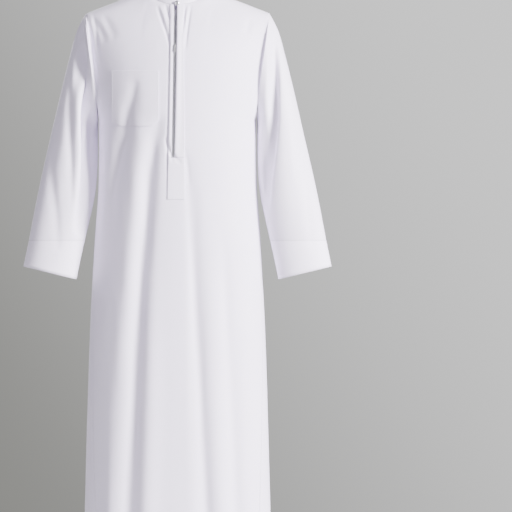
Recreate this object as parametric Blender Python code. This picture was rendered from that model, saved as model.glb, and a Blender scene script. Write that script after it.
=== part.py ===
"""White thobe: an ankle-length robe with a band collar, a zipped front placket and a chest pocket.

The garment hangs open and hollow, as worn. Every cut piece is a thin wall: a grid laid on the garment's
form, then thickened towards the inside. The origin lies between the shoulders, level with the neck points,
the front faces -Y and +X is the garment's left side.
"""
import math

import bmesh
import bpy
import numpy as np
from mathutils import Euler, Vector

MM = 0.001

# ---------------------------------------------------------------- driving dimensions, millimetres
CLOTH = 1.5                 # wall of one cloth piece
GAP = 0.3                   # clearance at every seam and between laid-on layers
SQUARENESS = 2.25           # exponent of the torso's superellipse
SHOULDER_TIP = (225.5, 4.0, -57.0)
NECK_HALF_WIDTH = 78.0
NECK_FRONT = (-62.0, -39.0)             # y, z of the neckline at the centre front
NECK_BACK = (68.0, 6.0)                 # y, z of the neckline at the centre back
UNDERARM_Z = -318.0
HEM_Z = -1400.0
ARMHOLE_FRONT, ARMHOLE_BACK = 65.0, 75.0    # how far the armhole bows forward and back
GORE_TOP_Z, GORE_HEM_HALF = -330.0, 77.0    # each side gore is a long triangle
ARM_SEGMENTS = 12           # armhole segments on the front, and as many on the back
COLLAR_HEIGHT, COLLAR_WALL, COLLAR_LEAN = 40.0, 2.4, 4.0
COLLAR_GAP = 2.6            # between the two front ends of the collar band
ZIP_END_Z, TAIL_END_Z = -412.0, -514.0
POCKET_TOP_Z, POCKET_FOOT_Z, POCKET_CORNER = -200.0, -336.0, 14.0
POCKET_EASE = 0.3           # the pocket stands a little prouder than the placket

# Torso sections: height, half width, depth of the front, depth of the back
TORSO = np.array([
    (-1400, 233, 128, 140),
    (-1274, 228.5, 125, 137),
    (-1078, 223, 121, 133),
    (-882, 216.5, 118, 129),
    (-784, 212.5, 117, 127),
    (-686, 207, 116, 124),
    (-588, 201, 117, 121),
    (-490, 193.5, 119, 118),
    (-392, 192, 121, 117),
    (-318, 192.5, 122, 118),
], dtype=float)

# Centre line above the underarm: height, front depth, back depth
CHEST = np.array([
    (-318, 122, 118),
    (-250, 122, 120),
    (-200, 120, 121),
    (-150, 114, 119),
    (-100, 99, 113),
    (-60, 78, 100),
    (-39, 62, 92),
    (6, 62, 68),
], dtype=float)

# Half width of the body at the armhole seam: height, half width
ARMHOLE = np.array([
    (-318, 192.5), (-294, 195), (-245, 200), (-196, 206), (-147, 213), (-93, 220), (-57, 225.5),
], dtype=float)

# Inner columns of the front: distance from the centre on the chest, and along the top edge
FRONT_COLUMNS = np.array([
    (30, 32), (44, 47), (58, 60), (73, 70.5), (88, 76.3), (104, 78), (121, 100), (140, 130), (159, 160),
], dtype=float)
# Columns along the closure: at the neck, and at the foot of the placket tail
CLOSURE_COLUMNS = {
    "placket left": (-15.5, -23.0),
    "slit left": (-7.5, -14.5),
    "slit right": (0.5, -8.1),
    "placket right": (15.5, 19.6),
}
BACK_COLUMNS = np.array([
    (0, 0), (26, 26), (52, 50), (78, 68), (92, 76), (104, 78), (130, 118), (159, 160),
], dtype=float)
SIDE_COLUMNS = 6            # columns between the outermost inner column and the side seam

# Rows below the underarm: end height, number of rows down to it
FRONT_ROWS = [(-336.0, 1), (ZIP_END_Z, 3), (TAIL_END_Z, 3), (HEM_Z, 19)]
BACK_ROWS = [(HEM_Z, 18)]

# Sleeve sections from the armhole to the cuff: outer x, outer z, inner x, inner z, half depth, centre y
SLEEVE = np.array([
    (225.5, -57, 192.5, -318, 70, 5),
    (248.5, -98, 194.2, -326, 69, 4),
    (260.5, -147, 194.2, -336, 67, 3),
    (274, -200, 194.2, -352, 65, 1),
    (287.5, -256, 194.2, -375, 62, -2),
    (302, -318, 194.4, -412, 58, -6),
    (318.5, -390, 195.6, -460, 54, -10),
    (335, -462, 202, -515, 50, -14),
    (349, -532, 217, -575, 46, -18),
    (364, -613, 233, -645, 43, -22),
    (377, -676, 246, -708, 41, -25),
], dtype=float)

# Folds of the front and back: height, x, reach to each side, depth (positive sinks in)
FRONT_FOLDS = {
    "long left trough": [
        (-300, -44, 9, 0), (-345, -48, 10, 6), (-441, -66, 12, 13), (-539, -71, 13, 14), (-661, -83, 14, 13),
        (-833, -94, 15, 12), (-980, -100, 16, 11), (-1274, -115, 19, 12), (-1400, -120, 20, 12)],
    "ridge beside it": [
        (-300, -88, 12, 0), (-392, -93, 12, -5), (-490, -103, 14, -6), (-637, -115, 15, -6),
        (-833, -135, 16, -5), (-980, -148, 18, -4), (-1400, -165, 20, -4)],
    "pocket trough": [
        (-205, -98, 10, 0), (-250, -106, 11, 4), (-294, -115, 12, 7), (-367, -130, 12, 9), (-429, -143, 13, 9),
        (-514, -160, 14, 6), (-640, -172, 16, 3), (-800, -180, 16, 0)],
    "right trough": [
        (-400, 26, 12, 0), (-514, 37, 13, 4), (-686, 44, 14, 6), (-833, 49, 15, 7), (-980, 56, 16, 7),
        (-1274, 71, 18, 9), (-1400, 74, 20, 10)],
    "far right trough": [
        (-560, 108, 14, 0), (-735, 118, 15, 3), (-924, 132, 16, 4), (-1250, 142, 18, 6), (-1400, 146, 20, 6)],
    "left skirt swell": [
        (-700, -60, 20, 0), (-900, -64, 22, -4), (-1274, -74, 24, -6), (-1400, -78, 26, -6)],
    "right skirt swell": [
        (-600, 88, 22, 0), (-800, 90, 24, -3), (-1274, 106, 26, -5), (-1400, 110, 28, -5)],
}
BACK_FOLDS = {
    "centre trough": [(-360, 6, 16, 0), (-560, 4, 18, 6), (-900, 0, 20, 8), (-1400, -6, 24, 11)],
    "right trough": [(-300, -84, 14, 0), (-480, -88, 16, 7), (-800, -98, 18, 9), (-1400, -116, 22, 12)],
    "left trough": [(-340, 82, 14, 0), (-520, 88, 16, 6), (-860, 98, 18, 8), (-1400, 118, 22, 11)],
    "right ridge": [(-340, -46, 20, 0), (-600, -48, 22, -4), (-1000, -52, 24, -6), (-1400, -62, 26, -8)],
    "left ridge": [(-340, 46, 20, 0), (-600, 50, 22, -4), (-1000, 52, 24, -6), (-1400, 58, 26, -7)],
    "yoke drag right": [(-70, -120, 16, 0), (-130, -128, 18, 4), (-230, -140, 18, 5), (-330, -150, 16, 0)],
    "yoke drag left": [(-70, 124, 16, 0), (-130, 130, 18, 4), (-230, 142, 18, 4), (-330, 152, 16, 0)],
}
# Folds of the sleeves: section, angle round the sleeve from its outer line (front is 90), reach, depth
SLEEVE_FOLDS = {
    "right": {
        "front ridge": [(0.6, 84, 14, 0), (2, 82, 14, -4), (4, 94, 14, -5), (6, 112, 15, -5), (8, 128, 16, 0)],
        "front trough": [(0.6, 62, 12, 0), (2, 54, 13, 7), (4, 66, 14, 8), (6, 88, 15, 7), (8.6, 110, 18, 0)],
        "outer trough": [(4, 36, 16, 0), (6, 42, 16, 5), (8, 74, 18, 4), (10, 92, 20, 0)],
        "inner trough": [(1, 150, 14, 0), (3, 152, 14, 5), (6, 160, 14, 3), (8, 165, 14, 0)],
        "back trough": [(0.8, 262, 16, 0), (3, 258, 18, 7), (6, 246, 18, 6), (9, 238, 20, 0)],
    },
    "left": {
        "front trough": [(0.6, 60, 12, 0), (1.6, 66, 13, 7), (3.2, 91, 14, 9), (5, 112, 14, 8), (6.4, 136, 15, 6),
                         (7.6, 160, 15, 0)],
        "front ridge": [(0.8, 36, 16, 0), (3, 56, 18, -4), (6, 92, 20, -4), (8.6, 104, 22, 0)],
        "hollow of the elbow": [(4, 20, 18, 0), (6, 28, 20, 4), (8, 40, 20, 0)],
        "inner trough": [(1, 205, 14, 0), (3, 205, 14, 4), (7, 196, 16, 3), (8.5, 190, 16, 0)],
        "back trough": [(0.8, 282, 16, 0), (3, 272, 18, 7), (6, 256, 18, 6), (9, 248, 20, 0)],
    },
}

# Zip: half gap between the two rows of teeth against height
ZIP_SPREAD = np.array([(-412, 0.2), (-149, 0.2), (-145.5, 0.95), (-136, 1.0), (-48, 1.1)], dtype=float)
TOOTH_ROW, TOOTH_DEPTH = 2.6, 2.0       # width and depth of one row of teeth
TAPE_WALL, TAPE_UNDERLAP = 1.0, 7.0     # tape thickness, and how far it runs under the front
ZIP_TOP_Z = -50.0
SLIDER_Z, SLIDER_WIDTH, SLIDER_LENGTH, PLATE = -142.0, 6.4, 10.0, 1.0
PIN_RADIUS, BARREL_RADIUS, BARREL_WIDTH, LUG_WALL = 0.7, 1.6, 3.0, 0.8
TAB_WIDTH, TAB_LENGTH = 5.0, 15.0
STUD_RADIUS, STUD_DOME, STUD_STANDOFF = 6.0, 2.2, 3.4

COLLECTION = "thobe"


# ---------------------------------------------------------------- scene, materials
def clear_scene():
    for obj in list(bpy.data.objects):
        bpy.data.objects.remove(obj, do_unlink=True)


def new_collection(name):
    collection = bpy.data.collections.new(name)
    bpy.context.scene.collection.children.link(collection)
    return collection


def material(name, colour, roughness, metallic=0.0):
    mat = bpy.data.materials.new(name)
    mat.use_nodes = True
    shader = mat.node_tree.nodes["Principled BSDF"]
    shader.inputs["Base Color"].default_value = (*colour, 1.0)
    shader.inputs["Roughness"].default_value = roughness
    shader.inputs["Metallic"].default_value = metallic
    return mat


# ---------------------------------------------------------------- the garment's form
def table(rows, height, column):
    """Value of a table's column at a height, between its rows."""
    order = np.argsort(rows[:, 0])
    return float(np.interp(height, rows[order, 0], rows[order, column]))


def rounded(value):
    """Sine or cosine bent to the torso's squareness, keeping its sign."""
    return math.copysign(abs(value) ** (2.0 / SQUARENESS), value)


def fold_depth(folds, along, across):
    """Sum of every fold's soft profile at one place."""
    total = 0.0
    for path in folds.values():
        rows = np.array(path, dtype=float)
        order = np.argsort(rows[:, 0])
        stations, rows = rows[order, 0], rows[order]
        if not stations[0] <= along <= stations[-1]:
            continue
        centre, reach, depth = (np.interp(along, stations, rows[:, k]) for k in (1, 2, 3))
        total += depth * math.exp(-(((across - centre) / reach) ** 2))
    return total


def top_edge(x, side):
    """y and z of the shoulder seam or the neckline at x; side is -1 for the front and 1 for the back."""
    reach = min(abs(x), SHOULDER_TIP[0])
    if reach >= NECK_HALF_WIDTH:
        share = (reach - NECK_HALF_WIDTH) / (SHOULDER_TIP[0] - NECK_HALF_WIDTH)
        return SHOULDER_TIP[1] * share, SHOULDER_TIP[2] * share
    bow = math.sqrt(1.0 - (reach / NECK_HALF_WIDTH) ** 2)
    depth, drop = NECK_FRONT if side < 0 else NECK_BACK
    return depth * bow, drop * bow ** 1.3


def level(q):
    """Height of the panel's edge: q runs from -1 at the hem to 0 at the underarm and 1 at the shoulder."""
    if q <= 0.0:
        return UNDERARM_Z + (UNDERARM_Z - HEM_Z) * q
    return UNDERARM_Z + (SHOULDER_TIP[2] - UNDERARM_Z) * (1.0 - math.cos(math.pi * min(q, 1.0))) / 2.0


def level_to_q(z):
    return (z - UNDERARM_Z) / (UNDERARM_Z - HEM_Z)


def gore_half(z):
    """Half width of a side gore, measured front to back."""
    return max(0.0, GORE_HEM_HALF * (GORE_TOP_Z - z) / (GORE_TOP_Z - HEM_Z))


def seam_angle(z, side):
    """Angle of the side seam from the panel's own centre line, less half the seam's clearance."""
    depth = table(TORSO, z, 2 if side < 0 else 3)
    offset = max(gore_half(z), 0.0) + GAP / 2
    return math.acos((offset / depth) ** (SQUARENESS / 2.0))


class Panel:
    """The front (side -1) or back (side 1), as a surface over a column and a row parameter."""

    def __init__(self, side, columns, folds):
        self.side, self.columns, self.folds = side, columns, folds
        self.edge_column = columns[-1][0]

    def blend(self, q):
        """How far a row has bent from level towards the top edge: 0 below the chest, 1 at the top."""
        start = level(0.5)
        return max(0.0, (level(q) - start) / (SHOULDER_TIP[2] - start)) ** 1.5 if q > 0 else 0.0

    def x_inner(self, column, q):
        at_top = float(np.interp(column, [0.0, *self.columns[:, 0]], [0.0, *self.columns[:, 1]]))
        return column + (at_top - column) * self.blend(q)

    def base(self, column, q):
        """Point before folds; columns past the outermost inner one run on, 100 a side, to the side seam."""
        z = level(q)
        sign = math.copysign(1.0, column)
        reach = abs(column)
        upper = q > 0.0
        half = table(ARMHOLE, z, 1) if upper else table(TORSO, z, 1)
        bow = (ARMHOLE_FRONT if self.side < 0 else -ARMHOLE_BACK) * math.sin(math.pi * min(q, 1.0)) if upper else 0.0
        edge_y = (SHOULDER_TIP[1] * min(q, 1.0) ** 6 if upper else 0.0) - bow
        edge_angle = math.pi / 2 if upper else seam_angle(z, self.side)
        inner = self.x_inner(min(reach, self.edge_column), q)
        angle = math.asin(min(1.0, (inner / half)) ** (SQUARENESS / 2.0))
        if reach > self.edge_column:
            angle += (edge_angle - angle) * (reach - self.edge_column) / 100.0
        x = half * rounded(math.sin(angle))
        bulge = rounded(math.cos(angle))
        if not upper:
            depth = table(TORSO, z, 2 if self.side < 0 else 3)
            return np.array([sign * x, self.side * depth * bulge, z])
        x_top = float(np.interp(x, [0, inner, half], [0, inner, SHOULDER_TIP[0]])) if reach > self.edge_column else inner
        y_top, z_top = top_edge(x_top, self.side)
        rise = self.blend(q) * (z_top - SHOULDER_TIP[2])
        depth = table(CHEST, z + rise, 1 if self.side < 0 else 2)
        y = self.side * depth * bulge + edge_y * (1.0 - bulge) ** 3.2
        past = max(0.0, reach - self.edge_column) / 100.0
        pull = min(q, 1.0) ** (7.0 / max(0.001, 1.0 - past ** 2))
        return np.array([sign * x, y + (y_top - y) * pull, z + rise])

    def normal_of(self, place, column, q):
        """Outward normal by small steps; above the underarm none of them leaves the panel."""
        limit = self.edge_column + 100.0 if q > 0.0 else 10000.0
        left, right = max(column - 1.5, -limit), min(column + 1.5, limit)
        low, high = max(q - 0.004, -1.0), min(q + 0.004, 1.0)
        across = place(right, q) - place(left, q)
        along = place(column, high) - place(column, low)
        normal = np.cross(across, along) if self.side < 0 else np.cross(along, across)
        return normal / np.linalg.norm(normal)

    def point(self, column, q):
        base = self.base(column, q)
        fade = min(1.0, max(0.0, (1.0 - q) / 0.35))
        side_fade = min(1.0, max(0.0, (self.edge_column + 100.0 - abs(column)) / 60.0))
        depth = fold_depth(self.folds, base[2], base[0]) * fade * side_fade
        return base - self.normal_of(self.base, column, q) * depth if depth else base

    def normal(self, column, q):
        return self.normal_of(self.point, column, q)


def side_point(sign, y, z):
    """Point of the torso's side at a depth y, on the left (sign 1) or right (sign -1)."""
    half = table(TORSO, z, 1)
    depth = table(TORSO, z, 2 if y < 0 else 3)
    return np.array([sign * half * (1.0 - (abs(y) / depth) ** SQUARENESS) ** (1.0 / SQUARENESS), y, z])


def armhole_point(q, front):
    """Edge of the armhole on the left side, q from 0 at the underarm to 1 at the shoulder tip."""
    z = level(q)
    bow = math.sin(math.pi * q) * (-ARMHOLE_FRONT if front else ARMHOLE_BACK)
    return np.array([table(ARMHOLE, z, 1), bow + SHOULDER_TIP[1] * q ** 6, z])


def armhole_out():
    """Direction across the armhole seam, from the body towards the left sleeve."""
    run = SHOULDER_TIP[0] - table(ARMHOLE, UNDERARM_Z, 1)
    rise = SHOULDER_TIP[2] - UNDERARM_Z
    return np.array([rise, 0.0, -run]) / math.hypot(rise, run)


class Sleeve:
    """A sleeve as a surface over its section number and the angle round it, 90 degrees at the front."""

    def __init__(self, sign, folds):
        self.sign, self.folds = sign, folds

    def ring(self, section, angle):
        stations = np.arange(len(SLEEVE))
        ox, oz, ix, iz, depth, cy = (float(np.interp(section, stations, SLEEVE[:, k])) for k in range(6))
        turn = math.cos(math.radians(angle))
        return np.array([(ox + ix) / 2 + turn * (ox - ix) / 2, cy - depth * math.sin(math.radians(angle)),
                         (oz + iz) / 2 + turn * (oz - iz) / 2])

    def base(self, section, angle):
        """Ring point, drawn onto the armhole at the sleeve head and clear of it by the seam's gap."""
        angle = angle % 360.0
        front = angle <= 180.0
        q = 1.0 - (angle if front else 360.0 - angle) / 180.0
        seat = armhole_point(q, front) + armhole_out() * GAP
        hold = max(0.0, 1.0 - max(section, 0.0) / 2.0) ** 2
        point = self.ring(max(section, 0.0), angle) + (seat - self.ring(0.0, angle)) * hold
        return point * np.array([self.sign, 1.0, 1.0])

    def normal_of(self, place, section, angle):
        around = place(section, angle + 2.0) - place(section, angle - 2.0)
        last = len(SLEEVE) - 1
        along = place(min(section + 0.05, last), angle) - place(max(section - 0.05, 0.0), angle)
        normal = np.cross(around, along) * self.sign
        return normal / np.linalg.norm(normal)

    def point(self, section, angle):
        base = self.base(section, angle)
        depth = fold_depth(self.folds, section, angle % 360.0)
        return base - self.normal_of(self.base, section, angle) * depth if depth else base

    def normal(self, section, angle):
        return self.normal_of(self.point, section, angle)


def inward(normal, seams=()):
    """Direction from a wall's outer face to its inner one, kept from leaning over any seam beside it."""
    direction = -normal
    for seam in seams:
        lean = float(np.dot(direction, seam))
        if lean > 0.0:
            direction = direction - lean * np.asarray(seam)
    return direction / np.linalg.norm(direction)


# ---------------------------------------------------------------- mesh building
def wall(name, outer, inner, collection, mat, closed=False, omit=()):
    """A closed thin wall: a grid laid on its outer points, then thickened to its inner points.

    outer and inner are arrays of points, row by row; closed joins the last column to the first, and
    omit lists the (row, column) cells left open.
    """
    rows, columns = outer.shape[:2]
    bm = bmesh.new()
    bmesh.ops.create_grid(bm, x_segments=columns - 1, y_segments=rows - 1, size=1.0)
    cell = bm.verts.layers.int.new("cell")
    for vert in bm.verts:
        i = round((vert.co.x + 1.0) / 2.0 * (columns - 1))
        j = round((vert.co.y + 1.0) / 2.0 * (rows - 1))
        vert[cell] = j * columns + i
    if omit:
        middle = {((2 * i + 1) / (columns - 1) - 1.0, (2 * j + 1) / (rows - 1) - 1.0) for j, i in omit}
        gone = []
        for face in bm.faces:
            centre = face.calc_center_median()
            if any(abs(centre.x - x) < 1e-4 and abs(centre.y - y) < 1e-4 for x, y in middle):
                gone.append(face)
        bmesh.ops.delete(bm, geom=gone, context="FACES")
    outer_flat, inner_flat = outer.reshape(-1, 3), inner.reshape(-1, 3)
    for vert in bm.verts:
        vert.co = Vector(outer_flat[vert[cell]] * MM)
    if closed:
        bmesh.ops.remove_doubles(bm, verts=bm.verts[:], dist=1e-7)
    bmesh.ops.triangulate(bm, faces=bm.faces[:], quad_method="FIXED")
    grown = bmesh.ops.extrude_face_region(bm, geom=bm.faces[:], use_keep_orig=True)
    for vert in grown["geom"]:
        if isinstance(vert, bmesh.types.BMVert):
            vert.co = Vector(inner_flat[vert[cell]] * MM)
    bm.verts.layers.int.remove(cell)
    bmesh.ops.recalc_face_normals(bm, faces=bm.faces[:])
    mesh = bpy.data.meshes.new(name)
    bm.to_mesh(mesh)
    bm.free()
    mesh.materials.append(mat)
    obj = bpy.data.objects.new(name, mesh)
    collection.objects.link(obj)
    return obj


def solid(name, bm, collection, mat, origin=(0.0, 0.0, 0.0)):
    """An object from a bmesh drawn in millimetres about its own origin."""
    bmesh.ops.scale(bm, vec=(MM, MM, MM), verts=bm.verts[:])
    bmesh.ops.recalc_face_normals(bm, faces=bm.faces[:])
    mesh = bpy.data.meshes.new(name)
    bm.to_mesh(mesh)
    bm.free()
    mesh.materials.append(mat)
    obj = bpy.data.objects.new(name, mesh)
    obj.location = Vector(origin) * MM
    collection.objects.link(obj)
    return obj


def add_box(bm, centre, size):
    made = bmesh.ops.create_cube(bm, size=1.0)["verts"]
    bmesh.ops.scale(bm, vec=size, verts=made)
    bmesh.ops.translate(bm, vec=centre, verts=made)
    return made


def add_rod(bm, centre, radius, length, segments=20, tilt=(0.0, math.pi / 2, 0.0)):
    """A closed cylinder, along X unless tilted otherwise."""
    made = bmesh.ops.create_cone(bm, cap_ends=True, segments=segments, radius1=radius, radius2=radius,
                                 depth=length)["verts"]
    bmesh.ops.rotate(bm, cent=(0, 0, 0), matrix=Euler(tilt).to_matrix(), verts=made)
    bmesh.ops.translate(bm, vec=centre, verts=made)
    return made


def boolean(target, other, operation):
    """Apply an exact boolean to target and remove the other object."""
    modifier = target.modifiers.new(operation.title(), "BOOLEAN")
    modifier.object, modifier.operation, modifier.solver = other, operation, "EXACT"
    bpy.context.view_layer.update()
    done = bpy.data.meshes.new_from_object(target.evaluated_get(bpy.context.evaluated_depsgraph_get()))
    target.modifiers.clear()
    target.data = done
    bpy.data.objects.remove(other, do_unlink=True)


# ---------------------------------------------------------------- front and back
def row_parameters(plan):
    """Row parameters from the hem up: level rows below the underarm, then the armhole's own rows."""
    heights, start = [UNDERARM_Z], UNDERARM_Z
    for end, count in plan:
        heights += [start + (end - start) * (k + 1) / count for k in range(count)]
        start = end
    return [level_to_q(z) for z in reversed(heights)] + [(k + 1) / ARM_SEGMENTS for k in range(ARM_SEGMENTS)]


def closure_column(name, q):
    neck, foot = CLOSURE_COLUMNS[name]
    share = min(1.0, max(0.0, (level(q) - TAIL_END_Z) / (NECK_FRONT[1] - TAIL_END_Z)))
    return foot + (neck - foot) * share


def column_line(inner, closure, q):
    """Columns of one row, from the right side seam to the left one."""
    outer = [inner[-1] + 100.0 * (k + 1) / SIDE_COLUMNS for k in range(SIDE_COLUMNS)]
    half = list(inner) + outer
    middle = [closure_column(name, q) for name in closure]
    left = [c for c in half if c > 0.0]
    return [-c for c in reversed(left)] + (middle if closure else [0.0]) + left


def panel_grid(panel, rows, closure=()):
    """Outer points, normals and inner points of a whole panel."""
    outer, normals, inner = [], [], []
    seam = armhole_out()
    for q in rows:
        line = column_line(panel.columns[:, 0], closure, q)
        points, facing, lining = [], [], []
        for i, column in enumerate(line):
            point, normal = panel.point(column, q), panel.normal(column, q)
            sign = math.copysign(1.0, column)
            seams = []
            if i in (0, len(line) - 1):
                if q > 0.0:
                    seams.append(seam * np.array([sign, 1.0, 1.0]))
                else:
                    past = panel.base(column + sign * 2.0, q) - panel.base(column, q)
                    seams.append(past / np.linalg.norm(past))
            if q >= 1.0 and abs(point[0]) > NECK_HALF_WIDTH - 0.01:
                seams.append(np.array([0.0, -panel.side, 0.0]))
                point = point + np.array([0.0, panel.side * GAP / 2, 0.0])
            points.append(point)
            facing.append(normal)
            lining.append(point + inward(normal, seams) * CLOTH)
        outer.append(points)
        normals.append(facing)
        inner.append(lining)
    return np.array(outer), np.array(normals), np.array(inner)


class Laid:
    """Places on a panel's own facets, for what lies on it or is sewn behind it."""

    def __init__(self, outer, normals):
        self.outer, self.normals = outer, normals

    def row_at(self, column, z):
        heights = self.outer[:, column, 2]
        return float(np.interp(z, heights, np.arange(len(heights))))

    def at(self, row, column, lift):
        """Point lifted off the outer face; row and column may lie between the panel's own."""
        j, i = min(int(row), len(self.outer) - 2), min(int(column), self.outer.shape[1] - 2)
        u, v = column - i, row - j
        blend = [(1 - u) * (1 - v), u * (1 - v), (1 - u) * v, u * v]
        corners = [(j, i), (j, i + 1), (j + 1, i), (j + 1, i + 1)]
        point = sum(b * self.outer[c] for b, c in zip(blend, corners))
        normal = sum(b * self.normals[c] for b, c in zip(blend, corners))
        return point + lift * normal / np.linalg.norm(normal)

    def layer(self, rows, columns, low, high):
        """Outer and inner point arrays of a layer; columns may be a function of the row."""
        grids = []
        for lift in (high, low):
            grids.append(np.array([[self.at(row, column, lift) for column in columns(row)] for row in rows]))
        return grids


def build_gore(name, sign, rows, collection, mat):
    """Side gore: a long triangle between front and back, from just below the underarm to the hem."""
    shares = [-1.0, -0.5, 0.0, 0.5, 1.0]
    heights = [level(q) for q in rows if q <= level_to_q(GORE_TOP_Z - 16.0)] + [GORE_TOP_Z - 16.0]
    outer, inner = [], []
    for z in heights:
        reach = gore_half(z) - GAP / 2
        points, lining = [], []
        for share in shares:
            y = share * reach
            point = side_point(sign, y, z)
            across = side_point(sign, y + 1.0, z) - side_point(sign, y - 1.0, z)
            along = side_point(sign, y, z + 5.0) - side_point(sign, y, z - 5.0)
            normal = np.cross(across, along) * sign
            normal /= np.linalg.norm(normal)
            edge = [share * across / np.linalg.norm(across)] if abs(share) == 1.0 else []
            points.append(point)
            lining.append(point + inward(normal, edge) * CLOTH)
        outer.append(points)
        inner.append(lining)
    return wall(name, np.array(outer), np.array(inner), collection, mat)


def build_sleeve(name, sign, folds, collection, mat):
    """Sleeve from the armhole to the cuff, doubled where its hem is turned up inside."""
    sleeve = Sleeve(sign, folds)
    hem_start = len(SLEEVE) - 2
    sections = list(range(hem_start)) + [hem_start - 0.04, hem_start, hem_start + 1]
    angles = [360.0 * k / (2 * ARM_SEGMENTS) for k in range(2 * ARM_SEGMENTS + 1)]
    outer, inner = [], []
    for section in sections:
        thick = CLOTH * 1.6 if section >= hem_start else CLOTH
        seams = [-armhole_out() * np.array([sign, 1.0, 1.0])] if section == 0 else []
        points, lining = [], []
        for angle in angles:
            point = sleeve.point(section, angle)
            points.append(point)
            lining.append(point + inward(sleeve.normal(section, angle), seams) * thick)
        outer.append(points)
        inner.append(lining)
    return wall(name, np.array(outer), np.array(inner), collection, mat, closed=True)


def build_collar(front_edge, back_edge, collection, mat):
    """Band collar standing on the neckline, its two ends parted at the stud."""
    middle = -1.0
    base = [point for point in front_edge if point[0] > middle + COLLAR_GAP]
    base += [point for point in reversed(back_edge)]
    base += [point for point in front_edge if point[0] < middle - COLLAR_GAP - 2.0]
    ends = []
    for x in (middle + COLLAR_GAP / 2, middle - COLLAR_GAP / 2):
        ends.append(np.array([x, *top_edge(x, -1)]))
    base = [ends[0]] + base + [ends[1]]
    outer, inner = [[], [], []], [[], [], []]
    for point in base:
        depth = abs(NECK_FRONT[0]) if point[1] < 0 else NECK_BACK[0]
        out = np.array([point[0] / NECK_HALF_WIDTH ** 2, point[1] / depth ** 2, 0.0])
        out /= np.linalg.norm(out)
        for k, share in enumerate((0.0, 0.5, 1.0)):
            rise = GAP + COLLAR_HEIGHT * share
            place = point + np.array([0.0, 0.0, rise]) - out * COLLAR_LEAN * share
            outer[k].append(place)
            inner[k].append(place - out * COLLAR_WALL)
    return wall("collar_band", np.array(outer), np.array(inner), collection, mat)


# ---------------------------------------------------------------- closure

def build_zip(laid, slit, collection, tape_mat, metal_mat):
    """Two tapes behind the slit, each with its row of teeth in the slit, and the bottom stop."""
    heights = sorted(set(ZIP_SPREAD[:, 0]) | {ZIP_TOP_Z})
    first, last = laid.row_at(slit, ZIP_END_Z + 3.0), laid.row_at(slit, ZIP_TOP_Z)
    rows = [laid.row_at(slit, z) for z in heights[1:-1] if z < ZIP_TOP_Z]
    rows += [float(j) for j in range(int(first) + 1, int(last) + 1)]
    rows = sorted({round(r, 4) for r in rows + [first, last]})
    rows = [r for k, r in enumerate(rows) if k == 0 or r - rows[k - 1] > 0.02]

    def offset(row, distance):
        here = laid.at(row, slit, 0.0)
        width = laid.at(row, slit + 1, 0.0)[0] - here[0]
        return distance / width

    def half_gap(row):
        return table(ZIP_SPREAD, laid.at(row, slit, 0.0)[2], 1)

    low = -(CLOTH + GAP + TAPE_WALL)
    for side, label in ((-1, "right"), (1, "left")):
        edge = slit if side < 0 else slit + 1
        under = TAPE_UNDERLAP / 13.5

        def tape_line(row):
            inner = slit + 0.5 + side * offset(row, half_gap(row))
            line = [inner, edge, edge + side * under]
            return sorted(line)

        def tooth_line(row):
            near = slit + 0.5 + side * offset(row, half_gap(row))
            far = slit + 0.5 + side * offset(row, half_gap(row) + TOOTH_ROW)
            return sorted((near, far))

        wall(f"zip_tape_{label}", *laid.layer(rows, tape_line, low, low + TAPE_WALL), collection, tape_mat)
        wall(f"zip_teeth_{label}", *laid.layer(rows, tooth_line, 0.5 - TOOTH_DEPTH, 0.5), collection, metal_mat)

    stop_z = (ZIP_END_Z + 1.7, ZIP_END_Z + 2.6)
    stop_rows = [laid.row_at(slit, stop_z[0] - 1.2), laid.row_at(slit, stop_z[1])]

    def stop_line(row):
        return [slit + 0.5 - offset(row, 2.7), slit + 0.5 + offset(row, 2.7)]

    wall("zip_bottom_stop", *laid.layer(stop_rows, stop_line, 0.5 - TOOTH_DEPTH, 0.5), collection, metal_mat)


def slider_frame(laid, slit):
    """Origin on the panel's face at the slider, and the tilt of that face about X."""
    here = (laid.at(laid.row_at(slit, SLIDER_Z), slit + 0.5, 0.0))
    below = laid.at(laid.row_at(slit, SLIDER_Z - 6.0), slit + 0.5, 0.0)
    tilt = math.atan2(below[1] - here[1], here[2] - below[2])
    return here, tilt


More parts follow.
